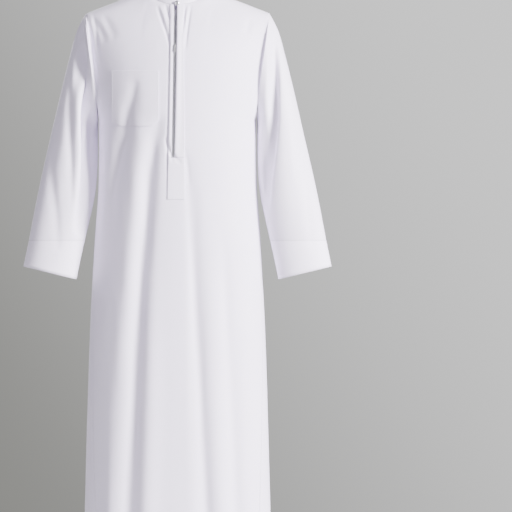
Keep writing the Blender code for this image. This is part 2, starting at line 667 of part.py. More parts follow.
def build_slider(laid, slit, collection, mat):
    """Slider on the teeth with two lugs and a cross pin, and the tab that swings on the pin."""
    origin, tilt = slider_frame(laid, slit)
    front = 0.5 + GAP + PLATE
    pin_out = front + BARREL_RADIUS + 0.4
    back = CLOTH + GAP + TAPE_WALL + GAP
    lug_x = BARREL_WIDTH / 2 + GAP + LUG_WALL / 2

    def part(make):
        bm = bmesh.new()
        make(bm)
        return solid("piece", bm, collection, mat)

    slider = part(lambda bm: add_box(bm, (0, -(front - PLATE / 2), 0), (SLIDER_WIDTH, PLATE, SLIDER_LENGTH)))
    wedge_depth = front - PLATE / 2 + back + PLATE / 2
    pieces = [
        lambda bm: add_box(bm, (0, back + PLATE / 2, 0), (SLIDER_WIDTH, PLATE, SLIDER_LENGTH)),
        lambda bm: add_box(bm, (0, wedge_depth / 2 - front + PLATE / 2, 0.8), (1.0, wedge_depth, 6.4)),
    ]
    for sign in (-1, 1):
        reach = pin_out + PIN_RADIUS + 0.4 - front + PLATE / 2
        pieces.append(lambda bm, s=sign: add_box(
            bm, (s * lug_x, -(front - PLATE / 2 + reach / 2), 0), (LUG_WALL, reach, 3.0)))
    pieces.append(lambda bm: add_rod(bm, (0, -pin_out, 0), PIN_RADIUS, 2 * lug_x, 16))
    for make in pieces:
        boolean(slider, part(make), "UNION")
    slider.name = slider.data.name = "zip_slider"
    slider.location = Vector(origin) * MM
    slider.rotation_euler = (tilt, 0.0, 0.0)

    tab = part(lambda bm: add_rod(bm, (0, 0, 0), BARREL_RADIUS, BARREL_WIDTH, 24))
    boolean(tab, part(lambda bm: add_box(bm, (0, 0, -(TAB_LENGTH + 1.0) / 2), (BARREL_WIDTH, 1.0, TAB_LENGTH - 1.0))),
            "UNION")
    boolean(tab, part(lambda bm: add_box(bm, (0, 0, -TAB_LENGTH * 0.62), (TAB_WIDTH, 1.0, TAB_LENGTH * 0.76))),
            "UNION")
    boolean(tab, part(lambda bm: add_rod(bm, (0, 0, 0), PIN_RADIUS + GAP, BARREL_WIDTH + 2, 24)), "DIFFERENCE")
    tab.name = tab.data.name = "zip_pull_tab"
    hinge = Vector((0.0, -pin_out, 0.0))
    hinge.rotate(Euler((tilt, 0.0, 0.0)))
    tab.location = (Vector(origin) + hinge) * MM
    tab.rotation_euler = (tilt, 0.0, 0.0)


def build_stud(collection, mat):
    """Round stud through the gap of the collar: a domed head, a post and a back button."""
    x, z = -1.0, -35.0
    head_y = NECK_FRONT[0] - STUD_STANDOFF
    post_length = STUD_STANDOFF + COLLAR_WALL + 2 * GAP + 1.4

    def part(make):
        bm = bmesh.new()
        make(bm)
        return solid("piece", bm, collection, mat)

    upright = (math.pi / 2, 0.0, 0.0)

    def dome(bm):
        made = bmesh.ops.create_uvsphere(bm, u_segments=24, v_segments=10, radius=STUD_RADIUS)["verts"]
        bmesh.ops.scale(bm, vec=(1.0, 1.0, STUD_DOME / STUD_RADIUS), verts=made)
        flat = bmesh.ops.bisect_plane(bm, geom=bm.verts[:] + bm.edges[:] + bm.faces[:], dist=1e-5,
                                      plane_co=(0, 0, -0.3), plane_no=(0, 0, -1), clear_outer=True)
        rim = [e for e in flat["geom_cut"] if isinstance(e, bmesh.types.BMEdge)]
        bmesh.ops.holes_fill(bm, edges=rim, sides=0)
        bmesh.ops.rotate(bm, cent=(0, 0, 0), matrix=Euler(upright).to_matrix(), verts=bm.verts[:])

    stud = part(dome)
    boolean(stud, part(lambda bm: add_rod(bm, (0, post_length / 2 - 0.2, 0), 1.0, post_length, 14, upright)), "UNION")
    boolean(stud, part(lambda bm: add_rod(bm, (0, post_length - 0.2, 0), 4.0, 1.0, 20, upright)), "UNION")
    stud.name = stud.data.name = "collar_stud"
    stud.location = Vector((x, head_y, z)) * MM


# ---------------------------------------------------------------- assembly
def build():
    clear_scene()
    robe = new_collection(COLLECTION)
    cloth = material("white cloth", (0.86, 0.86, 0.90), 0.62)
    facing = material("white cloth, faced", (0.89, 0.89, 0.93), 0.55)
    tape = material("zip tape", (0.82, 0.82, 0.86), 0.75)
    metal = material("zip metal", (0.36, 0.37, 0.39), 0.32, 1.0)
    silver = material("stud metal", (0.66, 0.67, 0.69), 0.22, 1.0)

    front = Panel(-1, FRONT_COLUMNS, FRONT_FOLDS)
    back = Panel(1, BACK_COLUMNS, BACK_FOLDS)
    front_rows, back_rows = row_parameters(FRONT_ROWS), row_parameters(BACK_ROWS)
    outer, normals, inner = panel_grid(front, front_rows, tuple(CLOSURE_COLUMNS))
    slit = len(FRONT_COLUMNS) + SIDE_COLUMNS + 1        # column of the slit's right edge
    zip_foot = min(range(len(front_rows)), key=lambda j: abs(level(front_rows[j]) - ZIP_END_Z))
    tail_foot = min(range(len(front_rows)), key=lambda j: abs(level(front_rows[j]) - TAIL_END_Z))
    last_row = len(front_rows) - 1
    wall("front_panel", outer, inner, robe, cloth, omit=[(j, slit) for j in range(zip_foot, last_row)])
    back_outer, _, back_inner = panel_grid(back, back_rows)
    wall("back_panel", back_outer, back_inner, robe, cloth)
    for label, sign in (("right", -1), ("left", 1)):
        build_gore(f"side_gore_{label}", sign, front_rows, robe, cloth)
        build_sleeve(f"sleeve_{label}", sign, SLEEVE_FOLDS[label], robe, cloth)

    laid = Laid(outer, normals)
    low, high = GAP, GAP + CLOTH
    strip_rows = [zip_foot + 0.012] + [float(j) for j in range(zip_foot + 1, last_row)] + [last_row - 0.02]
    wall("placket_right", *laid.layer(strip_rows, lambda row: [slit - 1, slit - 0.5, slit], low, high), robe, facing)
    wall("placket_left", *laid.layer(strip_rows, lambda row: [slit + 1, slit + 1.5, slit + 2], low, high),
         robe, facing)
    tail_rows = [float(j) for j in range(tail_foot, zip_foot)] + [zip_foot - 0.012]
    wall("placket_tail", *laid.layer(tail_rows, lambda row: [slit - 1, slit, slit + 1, slit + 2], low, high),
         robe, facing)

    outer_column, inner_column = SIDE_COLUMNS, slit - 3
    pocket_columns = [float(i) for i in range(outer_column, inner_column + 1)]
    foot, top = laid.row_at(outer_column, POCKET_FOOT_Z), laid.row_at(outer_column, POCKET_TOP_Z)
    corner = laid.row_at(outer_column, POCKET_FOOT_Z + POCKET_CORNER)
    pocket_rows = [foot] + [float(j) for j in range(int(corner) + 1, int(top) + 1)] + [top]

    def pocket_line(row):
        return pocket_columns

    low, high = low + POCKET_EASE, high + POCKET_EASE
    pocket = laid.layer(pocket_rows, pocket_line, low, high)
    for grid, lift in zip(pocket, (high, low)):
        for k in (0, -1):
            grid[0][k] = laid.at(corner, pocket_columns[k], lift)
    wall("chest_pocket", *pocket, robe, cloth)

    build_zip(laid, slit, robe, tape, metal)
    build_slider(laid, slit, robe, metal)
    neck = NECK_HALF_WIDTH + 0.01
    front_edge = [p for p in outer[-1] if abs(p[0]) <= neck]
    front_edge = [p for p in front_edge if p[0] > 0] + [p for p in front_edge if p[0] <= 0]
    right = [p for p in front_edge if p[0] <= 0]
    left = [p for p in front_edge if p[0] > 0]
    back_edge = [p for p in back_outer[-1] if abs(p[0]) < neck - 1.0]
    build_collar(left + right, back_edge, robe, facing)
    build_stud(robe, silver)


build()
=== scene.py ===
import math

import bmesh
import bpy
import numpy as np
from mathutils import Matrix, Vector, noise
from mathutils.bvhtree import BVHTree
from mathutils.kdtree import KDTree


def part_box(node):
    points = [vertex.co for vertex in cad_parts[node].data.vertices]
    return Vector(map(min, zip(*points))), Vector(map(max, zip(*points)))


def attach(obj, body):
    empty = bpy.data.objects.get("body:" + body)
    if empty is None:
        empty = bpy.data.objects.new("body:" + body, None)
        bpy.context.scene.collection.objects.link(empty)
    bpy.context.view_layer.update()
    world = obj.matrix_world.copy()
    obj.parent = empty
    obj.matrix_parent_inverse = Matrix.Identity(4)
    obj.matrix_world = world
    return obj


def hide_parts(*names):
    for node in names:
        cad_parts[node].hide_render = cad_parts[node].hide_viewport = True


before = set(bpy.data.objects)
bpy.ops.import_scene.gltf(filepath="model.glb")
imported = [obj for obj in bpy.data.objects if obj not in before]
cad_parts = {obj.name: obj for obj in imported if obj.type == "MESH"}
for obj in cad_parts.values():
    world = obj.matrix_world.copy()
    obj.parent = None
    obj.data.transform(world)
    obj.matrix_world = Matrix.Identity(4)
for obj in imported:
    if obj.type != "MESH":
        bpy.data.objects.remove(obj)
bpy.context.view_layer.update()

# ------------------------------------------------------------------ Studio
# A round pale floor under a grey surround, a large soft key from the robe's left front, a weak fill from the
# other side and a level long-lens camera. The surround as the camera sees it holds painted light, darker
# towards the lower left and brighter towards the upper right on the key's side; other rays meet an even grey.
# None of it belongs to the robe.
bpy.ops.object.select_all(action="DESELECT")
MM = 0.001
PICTURE_WIDTH = 1.2528              # metres across the picture at the robe's side seams
CAMERA_DISTANCE = 14.0
CAMERA_X, CAMERA_Z = 0.1918, -0.6510
FLOOR_Z, FLOOR_RADIUS = -1.56, 2.2

camera_data = bpy.data.cameras.new("Camera")
camera_data.sensor_width = 36.0
camera_data.lens = 36.0 * CAMERA_DISTANCE / PICTURE_WIDTH
camera_data.clip_end = 50.0
camera = bpy.data.objects.new("Camera", camera_data)
camera.location = (CAMERA_X, -CAMERA_DISTANCE, CAMERA_Z)
camera.rotation_euler = (math.pi / 2, 0.0, 0.0)
bpy.context.scene.collection.objects.link(camera)
bpy.context.scene.camera = camera


def soft_light(name, place, aim, size, power, colour):
    data = bpy.data.lights.new(name, "AREA")
    data.shape, data.size, data.energy, data.color = "SQUARE", size, power, colour
    lamp = bpy.data.objects.new(name, data)
    lamp.location = place
    lamp.rotation_euler = (Vector(aim) - Vector(place)).to_track_quat("-Z", "Y").to_euler()
    bpy.context.scene.collection.objects.link(lamp)


soft_light("key light", (4.0, -2.7, 0.9), (0.0, 0.0, -0.7), 1.6, 1440.0, (1.0, 0.98, 1.0))
soft_light("fill light", (-2.4, -4.2, 0.1), (0.0, 0.0, -0.7), 2.4, 78.0, (0.96, 0.92, 1.0))
soft_light("back light", (-0.8, 3.4, 0.9), (0.0, 0.0, -0.7), 2.4, 150.0, (1.0, 1.0, 1.0))

world = bpy.data.worlds.new("Studio")
world.use_nodes = True
world_nodes, world_links = world.node_tree.nodes, world.node_tree.links
heading = world_nodes.new("ShaderNodeTexCoord")
split_heading = world_nodes.new("ShaderNodeSeparateXYZ")
world_links.new(heading.outputs["Generated"], split_heading.inputs[0])
lean = world_nodes.new("ShaderNodeMath")
lean.operation = "MULTIPLY_ADD"
lean.inputs[1].default_value = 0.6
world_links.new(split_heading.outputs["Z"], lean.inputs[0])
world_links.new(split_heading.outputs["X"], lean.inputs[2])
surround = world_nodes.new("ShaderNodeMapRange")
surround.interpolation_type = "SMOOTHSTEP"
surround.inputs["From Min"].default_value, surround.inputs["From Max"].default_value = -0.080, 0.075
surround.inputs["To Min"].default_value, surround.inputs["To Max"].default_value = 0.0, 1.0
world_links.new(lean.outputs[0], surround.inputs["Value"])
# painted light on the surround seen by the camera: dark grey towards the lower left, near white towards the
# upper right
backdrop_painted_light = world_nodes.new("ShaderNodeValToRGB")
backdrop_painted_light.color_ramp.elements[0].color = (0.285, 0.285, 0.268, 1.0)
backdrop_painted_light.color_ramp.elements[1].color = (1.03, 1.03, 1.035, 1.0)
world_links.new(surround.outputs["Result"], backdrop_painted_light.inputs["Fac"])
seen = world_nodes.new("ShaderNodeLightPath")
ambience = world_nodes.new("ShaderNodeMix")
ambience.data_type = "RGBA"
ambience.inputs["A"].default_value = (0.405, 0.40, 0.43, 1.0)
world_links.new(seen.outputs["Is Camera Ray"], ambience.inputs["Factor"])
world_links.new(backdrop_painted_light.outputs["Color"], ambience.inputs["B"])
world_links.new(ambience.outputs["Result"], world_nodes["Background"].inputs["Color"])
world_nodes["Background"].inputs["Strength"].default_value = 1.0
bpy.context.scene.world = world

bpy.ops.mesh.primitive_circle_add(vertices=96, radius=FLOOR_RADIUS, fill_type="NGON",
                                  location=(0.0, 0.0, FLOOR_Z))
floor = bpy.context.object
floor.name = "studio_floor"
bpy.ops.object.transform_apply(location=True)
paper = bpy.data.materials.new("floor paper")
paper.use_nodes = True
paper_shader = paper.node_tree.nodes["Principled BSDF"]
paper_shader.inputs["Roughness"].default_value = 0.9
paper_place = paper.node_tree.nodes.new("ShaderNodeTexCoord")
paper_grain = paper.node_tree.nodes.new("ShaderNodeTexNoise")
paper_grain.inputs["Scale"].default_value = 1.3
paper.node_tree.links.new(paper_place.outputs["Object"], paper_grain.inputs["Vector"])
paper_ramp = paper.node_tree.nodes.new("ShaderNodeValToRGB")
paper_ramp.color_ramp.elements[0].color = (0.42, 0.42, 0.42, 1.0)
paper_ramp.color_ramp.elements[1].color = (0.48, 0.48, 0.475, 1.0)
paper.node_tree.links.new(paper_grain.outputs["Fac"], paper_ramp.inputs["Fac"])
paper.node_tree.links.new(paper_ramp.outputs["Color"], paper_shader.inputs["Base Color"])
floor.data.materials.append(paper)

# ------------------------------------------------------------------ Front panel
# One piece of smooth white suiting, slashed down the centre for the zip, sewn to the back at the shoulders
# and to the gores at the sides. It hangs from the chest, so its folds run down from the pocket and the tail.
CLOTH_WALL = 0.0011                 # real thickness of the cloth as drawn
CAD_WALL = 0.0015                   # the CAD wall's thickness, by which its rim is found and left out
SHEET_TURN = math.radians(86)       # a sharper turn than this is the wall's edge, not a fold
CORNER_TURN = math.radians(140)     # a border that turns more sharply than this has a corner there
CORNER_REACH = 0.006                # how far round a corner the softened sheet is drawn out to it
NECK_LOW = -0.03                    # the neck points of the shoulder seams lie above this
NECK_SIDE = 0.085                   # seams further out than this are the shoulder's and the side's
ARMHOLE_LOW, GORE_TOP = -0.33, -0.34            # heights that part the armhole seam from the side seam
HEM_TOP = -1.38                     # the seams' roll ends above the hem
FORWARD, BACKWARD = (0, -1, 0.2), (0, 1, 0.2)   # the way a fold's cloth must face
FOLD_TAPER = 0.6                    # how soon a fold reaches its depth from its two ends
WAVE, FINE_WAVE = (9.0, 3.2), (34.0, 15.0)      # unevenness of the cloth across and down, turns a metre
FINE_SHARE = 0.16                   # the finer wave's depth beside the broad one's


def outer_sheet(node, name, rims, tube=False):
    """The outside face of a CAD wall as one sheet of quads."""
    bm = bmesh.new()
    bm.from_mesh(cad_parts[node].data)
    bmesh.ops.remove_doubles(bm, verts=bm.verts[:], dist=2e-6)
    edge_faces = set()
    for edge in bm.edges:
        if any(abs(edge.calc_length() - rim) < 4e-6 for rim in rims):
            edge_faces.update(edge.link_faces)
    bmesh.ops.delete(bm, geom=list(edge_faces), context="FACES")
    bm.faces.ensure_lookup_table()
    seen, islands = set(), []
    for face in bm.faces:
        if face.index in seen:
            continue
        island, stack = [], [face]
        seen.add(face.index)
        while stack:
            here = stack.pop()
            island.append(here)
            for edge in here.edges:
                if len(edge.link_faces) == 2 and edge.calc_face_angle() > SHEET_TURN:
                    continue
                for near in edge.link_faces:
                    if near.index not in seen:
                        seen.add(near.index)
                        stack.append(near)
        islands.append(island)

    def facing(island):
        centre = Vector((0.0, 0.0, 0.0))
        if tube:
            centre = sum((f.calc_center_median() for f in island), Vector()) / len(island)
        total = 0.0
        for f in island:
            away = f.calc_center_median() - centre
            away.z = 0.0
            total += away.dot(f.normal) * f.calc_area()
        return total

    keep = set(max(islands, key=facing))
    bmesh.ops.delete(bm, geom=[f for f in bm.faces if f not in keep], context="FACES")
    bmesh.ops.join_triangles(bm, faces=bm.faces[:], angle_face_threshold=3.1, angle_shape_threshold=3.1)
    mesh = bpy.data.meshes.new(name)
    bm.to_mesh(mesh)
    bm.free()
    obj = bpy.data.objects.new(name, mesh)
    bpy.context.scene.collection.objects.link(obj)
    return obj


def apply_modifier(obj, kind, **values):
    bpy.ops.object.select_all(action="DESELECT")
    obj.select_set(True)
    bpy.context.view_layer.objects.active = obj
    modifier = obj.modifiers.new(kind.title(), kind)
    for key, value in values.items():
        setattr(modifier, key, value)
    bpy.ops.object.modifier_apply(modifier=modifier.name)


def soften(obj, levels):
    apply_modifier(obj, "SUBSURF", levels=levels, render_levels=levels, boundary_smooth="PRESERVE_CORNERS")


def corners_of(obj, where):
    """The sharp corners of a sheet's border in one region."""
    bm = bmesh.new()
    bm.from_mesh(obj.data)
    found = []
    for vert in bm.verts:
        ends = [e.other_vert(vert).co - vert.co for e in vert.link_edges if e.is_boundary]
        if where(vert.co) and len(ends) == 2 and ends[0].angle(ends[1]) < CORNER_TURN:
            found.append(vert.co.copy())
    bm.free()
    return found


def pull_out(obj, corners):
    """Draw a softened sheet out again to the corners it had."""
    points, _ = places(obj)
    for corner in corners:
        away = np.linalg.norm(points - np.array(corner), axis=1)
        pull = np.array(corner) - points[away.argmin()]
        points += pull * np.exp(-(away / CORNER_REACH) ** 2)[:, None]
    move_points(obj, points)


def places(obj):
    co = np.empty(len(obj.data.vertices) * 3)
    obj.data.vertices.foreach_get("co", co)
    normals = np.empty(len(obj.data.vertices) * 3)
    obj.data.vertices.foreach_get("normal", normals)
    return co.reshape(-1, 3), normals.reshape(-1, 3)


def move_points(obj, points):
    obj.data.vertices.foreach_set("co", points.reshape(-1))
    obj.data.update()


def stroke(flat, path, left, right, depth):
    """Depth of one listed fold: path is drawn in the plane of flat, in millimetres."""
    path = np.array(path, dtype=float) * MM
    best = np.full(len(flat), 1e9)
    signed, along = np.zeros(len(flat)), np.zeros(len(flat))
    lengths = np.linalg.norm(np.diff(path, axis=0), axis=1)
    total, run = lengths.sum(), 0.0
    for a, b, length in zip(path[:-1], path[1:], lengths):
        direction = (b - a) / length
        t = np.clip((flat - a) @ direction, 0.0, length)
        offset = flat - (a + t[:, None] * direction)
        distance = np.linalg.norm(offset, axis=1)
        side = np.sign(direction[0] * offset[:, 1] - direction[1] * offset[:, 0])
        nearer = distance < best
        best[nearer], signed[nearer] = distance[nearer], (distance * side)[nearer]
        along[nearer] = ((run + t) / total)[nearer]
        run += length
    reach = np.where(signed > 0, left, right) * MM
    taper = np.sin(np.pi * np.clip(along, 0.0, 1.0)) ** FOLD_TAPER
    return depth * MM * np.exp(-(signed / reach) ** 2) * taper


def unevenness(points, across, down, shift):
    """A smooth random height at each point, drawn out down the cloth."""
    return np.array([noise.noise(Vector((p[0] * across + shift[0], p[1] * across + shift[1], p[2] * down)))
                     for p in points])


def drape(obj, strokes, swell, seed, facing=None, hold=None):
    """Press the listed folds and a slight unevenness into a sheet, along its own normals."""
    points, normals = places(obj)
    flat = points[:, (0, 2)]
    sink = np.zeros(len(points))
    for path, left, right, depth in strokes:
        sink += stroke(flat, path, left, right, depth)
    if facing is not None:
        sink *= np.clip(normals @ np.array(facing, dtype=float) * 3.0, 0.0, 1.0)
    wave = unevenness(points, *WAVE, (seed, 0.0))
    fine = unevenness(points, *FINE_WAVE, (0.0, seed))
    sink += (wave * swell + fine * FINE_SHARE * swell) * MM
    if hold is not None:
        sink *= hold(points)
    move_points(obj, points - normals * sink[:, None])


def border_tree(obj, edge):
    """The points of a sheet's open border for which edge holds, to be searched by distance."""
    bm = bmesh.new()
    bm.from_mesh(obj.data)
    border = [v.co.copy() for v in bm.verts if any(e.is_boundary for e in v.link_edges) and edge(v.co)]
    bm.free()
    tree = KDTree(len(border))
    for index, place in enumerate(border):
        tree.insert(place, index)
    tree.balance()
    return tree


def roll_in(obj, edge, depth, reach):
    """Turn the cloth in along the seam at the given part of its border."""
    tree = border_tree(obj, edge)
    points, normals = places(obj)
    away = np.array([tree.find(Vector(p))[2] for p in points])
    move_points(obj, points - normals * (depth * MM * np.exp(-(away / (reach * MM)) ** 2))[:, None])


def refine(obj, near):
    """Split the faces of one region once more, where the folds are narrow."""
    bm = bmesh.new()
    bm.from_mesh(obj.data)
    edges = {e for f in bm.faces if near(f.calc_center_median()) for e in f.edges}
    bmesh.ops.subdivide_edges(bm, edges=list(edges), cuts=1, use_grid_fill=True)
    bm.to_mesh(obj.data)
    bm.free()


def thicken(obj, wall=CLOTH_WALL):
    apply_modifier(obj, "SOLIDIFY", thickness=wall, offset=-1.0, use_rim=True)
    obj.data.polygons.foreach_set("use_smooth", [True] * len(obj.data.polygons))
    obj.data.update()


def weave_group():
    """Plain weave and slubs on the cloth's own place, as a height and a shade."""
    group = bpy.data.node_groups.new("fine weave", "ShaderNodeTree")
    group.interface.new_socket("Vector", in_out="INPUT", socket_type="NodeSocketVector")
    group.interface.new_socket("Thread", in_out="INPUT", socket_type="NodeSocketFloat")
    group.interface.new_socket("Height", in_out="OUTPUT", socket_type="NodeSocketFloat")
    group.interface.new_socket("Shade", in_out="OUTPUT", socket_type="NodeSocketFloat")
    nodes, links = group.nodes, group.links
    start, end = nodes.new("NodeGroupInput"), nodes.new("NodeGroupOutput")
    split = nodes.new("ShaderNodeSeparateXYZ")
    links.new(start.outputs["Vector"], split.inputs[0])
    across = nodes.new("ShaderNodeMath")
    across.operation = "ADD"
    links.new(split.outputs["X"], across.inputs[0])
    links.new(split.outputs["Y"], across.inputs[1])
    threads = []
    for source in (across.outputs[0], split.outputs["Z"]):
        turn = nodes.new("ShaderNodeMath")
        turn.operation = "MULTIPLY"
        links.new(source, turn.inputs[0])
        links.new(start.outputs["Thread"], turn.inputs[1])
        sine = nodes.new("ShaderNodeMath")
        sine.operation = "SINE"
        links.new(turn.outputs[0], sine.inputs[0])
        threads.append(sine)
    crossing = nodes.new("ShaderNodeMath")
    crossing.operation = "MULTIPLY"
    links.new(threads[0].outputs[0], crossing.inputs[0])
    links.new(threads[1].outputs[0], crossing.inputs[1])
    slub = nodes.new("ShaderNodeTexNoise")
    slub.inputs["Scale"].default_value = 420.0
    slub.inputs["Detail"].default_value = 3.0
    links.new(start.outputs["Vector"], slub.inputs["Vector"])
    height = nodes.new("ShaderNodeMath")
    height.operation = "MULTIPLY_ADD"
    links.new(slub.outputs["Fac"], height.inputs[0])
    height.inputs[1].default_value = 1.4
    links.new(crossing.outputs[0], height.inputs[2])
    links.new(height.outputs[0], end.inputs["Height"])
    tone = nodes.new("ShaderNodeTexNoise")
    tone.inputs["Scale"].default_value = 6.0
    tone.inputs["Detail"].default_value = 4.0
    links.new(start.outputs["Vector"], tone.inputs["Vector"])
    links.new(tone.outputs["Fac"], end.inputs["Shade"])
    return group


fine_weave = weave_group()


def woven(name, dark, light, roughness, thread, bump, sheen):
    """A woven cloth: tone drifts a little, threads and slubs catch the light."""
    cloth = bpy.data.materials.new(name)
    cloth.use_nodes = True
    nodes, links = cloth.node_tree.nodes, cloth.node_tree.links
    shader = nodes["Principled BSDF"]
    shader.inputs["Sheen Weight"].default_value = sheen
    shader.inputs["Sheen Roughness"].default_value = 0.45
    shader.inputs["Specular IOR Level"].default_value = 0.35
    place = nodes.new("ShaderNodeTexCoord")
    weave = nodes.new("ShaderNodeGroup")
    weave.node_tree = fine_weave
    weave.inputs["Thread"].default_value = thread
    links.new(place.outputs["Object"], weave.inputs["Vector"])
    ramp = nodes.new("ShaderNodeValToRGB")
    ramp.color_ramp.elements[0].position, ramp.color_ramp.elements[1].position = 0.3, 0.7
    ramp.color_ramp.elements[0].color = (*dark, 1.0)
    ramp.color_ramp.elements[1].color = (*light, 1.0)
    links.new(weave.outputs["Shade"], ramp.inputs["Fac"])
    links.new(ramp.outputs["Color"], shader.inputs["Base Color"])
    spread = nodes.new("ShaderNodeMapRange")
    spread.inputs["To Min"].default_value = roughness - 0.05
    spread.inputs["To Max"].default_value = roughness + 0.06
    links.new(weave.outputs["Height"], spread.inputs["Value"])
    links.new(spread.outputs["Result"], shader.inputs["Roughness"])
    relief = nodes.new("ShaderNodeBump")
    relief.inputs["Strength"].default_value = bump
    relief.inputs["Distance"].default_value = 0.0002
    links.new(weave.outputs["Height"], relief.inputs["Height"])
    links.new(relief.outputs["Normal"], shader.inputs["Normal"])
    return cloth


white_cloth = woven("white cloth", (0.790, 0.735, 0.890), (0.820, 0.765, 0.915), 0.58, 9000.0, 0.22, 0.25)

# each fold: path (x, z) in millimetres, reach to its left and right seen along the path, depth
FRONT_STROKES = [
    ([(-50, -42), (-38, -76), (-26, -110), (-18, -142)], 4, 2.6, 3.6),
    ([(-42, -40), (-33, -62), (-24, -92)], 3, 4, -1.6),
    ([(-30, -38), (-24, -56), (-19, -76)], 4, 3, 3.2),
    ([(-18, -110), (-20, -270), (-23.4, -410), (-24.6, -500)], 2.2, 3.2, 0.9),
    ([(-23, -330), (-24, -400), (-24, -440)], 2.5, 3.5, 1.2),
    ([(-29, -360), (-19, -394), (-9, -422)], 4, 4, 3.2),
    ([(-13, -398), (-2, -416), (12, -426)], 4, 4, 2.6),
    ([(20, -394), (26, -430), (30, -480)], 4, 5, 1.8),
    ([(20, -40), (17, -66), (14, -110)], 2.5, 3, 2.2),
    ([(27, -40), (22, -70), (18, -104)], 3, 3, -1.3),
    ([(34, -40), (29, -72), (24, -112), (21, -150)], 3, 4, 2.8),
    ([(-206, -72), (-190, -98), (-174, -128)], 8, 6, 3.0),
    ([(-181, -66), (-166, -92), (-150, -122)], 8, 6, 2.6),
    ([(180, -72), (172, -92), (166, -114)], 8, 6, 2.0),
    ([(-220, -62), (-210, -130), (-204, -190), (-198, -260)], 5, 6, 3.4),
    ([(-206, -60), (-198, -110), (-192, -165)], 4, 4, 2.0),
    ([(-46, -318), (-66, -441), (-71, -539), (-83, -661), (-88, -735), (-96, -882), (-100, -980),
      (-115, -1274), (-124, -1480)], 9, 16, 4.0),
    ([(-99, -222), (-103, -240), (-115, -294), (-130, -367), (-144, -429), (-164, -520)], 8, 12, 3.4),
    ([(26, -400), (30, -520), (44, -760), (58, -1000), (71, -1274), (78, -1480)], 12, 9, 2.6),
    ([(112, -600), (124, -860), (142, -1249), (148, -1480)], 12, 10, 2.0),
]
front = outer_sheet("front_panel", "front_panel_cloth", [CAD_WALL])
neck_points = corners_of(front, lambda c: c.z > NECK_LOW and abs(c.x) < NECK_SIDE)
soften(front, 2)
pull_out(front, neck_points)
refine(front, lambda c: abs(c.x) < 0.075 and c.z > -0.20)
drape(front, FRONT_STROKES, facing=FORWARD, swell=0.5, seed=3.0)
roll_in(front, lambda c: c.z > ARMHOLE_LOW and c.x < -NECK_SIDE, 1.3, 3.5)
roll_in(front, lambda c: c.z > ARMHOLE_LOW and c.x > NECK_SIDE, 0.5, 3.0)
roll_in(front, lambda c: HEM_TOP < c.z < GORE_TOP and abs(c.x) > NECK_SIDE, 0.7, 3.0)
thicken(front)
front.data.materials.append(white_cloth)
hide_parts("front_panel")
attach(front, "robe")

# ------------------------------------------------------------------ Back panel
# The same cloth in one piece from the shoulders to the hem, with the fullness falling in long soft folds.
BACK_STROKES = [
    ([(-60, -60), (-90, -130), (-104, -220)], 12, 9, 2.0),
    ([(70, -64), (96, -140), (112, -240)], 9, 12, 2.0),
]
back = outer_sheet("back_panel", "back_panel_cloth", [CAD_WALL])
neck_points = corners_of(back, lambda c: c.z > NECK_LOW and abs(c.x) < NECK_SIDE)
soften(back, 2)
pull_out(back, neck_points)
drape(back, BACK_STROKES, facing=BACKWARD, swell=0.7, seed=11.0)
roll_in(back, lambda c: c.z > ARMHOLE_LOW and abs(c.x) > NECK_SIDE, 1.3, 3.5)
roll_in(back, lambda c: HEM_TOP < c.z < GORE_TOP and abs(c.x) > NECK_SIDE, 0.7, 3.0)
thicken(back)
back.data.materials.append(white_cloth)
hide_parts("back_panel")
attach(back, "robe")

# ------------------------------------------------------------------ Side gores
# A long triangle let in on each side, from under the arm to the hem, where it gives the skirt its width.
gores, sleeves = {}, {}
for side in ("right", "left"):
    gore = outer_sheet(f"side_gore_{side}", f"side_gore_{side}_cloth", [CAD_WALL])
    soften(gore, 3)
    drape(gore, [], swell=0.5, seed=23.0)
    roll_in(gore, lambda c: c.z > HEM_TOP, 0.7, 3.0)
    thicken(gore)
    gore.data.materials.append(white_cloth)
    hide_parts(f"side_gore_{side}")
    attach(gore, "robe")
    gores[side] = gore

# ------------------------------------------------------------------ Sleeves
# Straight one-piece sleeves set into the armholes, with a deep hem turned up inside and stitched round once.
SLEEVE_WALL_AT_HEM = 0.0024
SLEEVE_ROW = -0.6135                # height of the row of stitches that holds the sleeve's hem
ARMHOLE_FOOT = -0.40                # an open edge above this is the armhole's, not the cuff's
SEAM_HOLD = 0.011                   # how far the armhole seam keeps folds away
SLEEVE_STROKES = {
    "right": [
        ([(-244, -60), (-240, -130), (-234, -190), (-227, -250), (-220, -320), (-217, -400), (-222, -480),
          (-238, -600)], 22, 13, 34.0),
        ([(-262, -130), (-266, -220), (-262, -330), (-258, -440), (-256, -540)], 7, 9, 3.0),
        ([(-312, -400), (-304, -480), (-294, -560), (-290, -640)], 10, 12, 3.0),
    ],
    "left": [
        ([(243, -60), (243, -140), (242, -230), (240, -320), (232, -400), (222, -470),
          (218, -540)], 6, 18, 13.0),
        ([(213, -310), (209, -380), (209, -450), (214, -520)], 14, 8, 8.0),
        ([(300, -330), (312, -440), (322, -540), (330, -640)], 12, 12, 2.0),
        ([(268, -120), (274, -260), (278, -380), (284, -480)], 11, 11, -2.0),
        ([(226, -130), (218, -220), (211, -300)], 8, 8, -2.0),
    ],
}


def held_at_seam(obj, reach):
    """Folds die away towards the armhole seam, where the sleeve is sewn to the body."""
    seam = border_tree(obj, lambda c: c.z > ARMHOLE_FOOT)
    return lambda points: np.array([1.0 - math.exp(-(seam.find(Vector(p))[2] / reach) ** 2) for p in points])


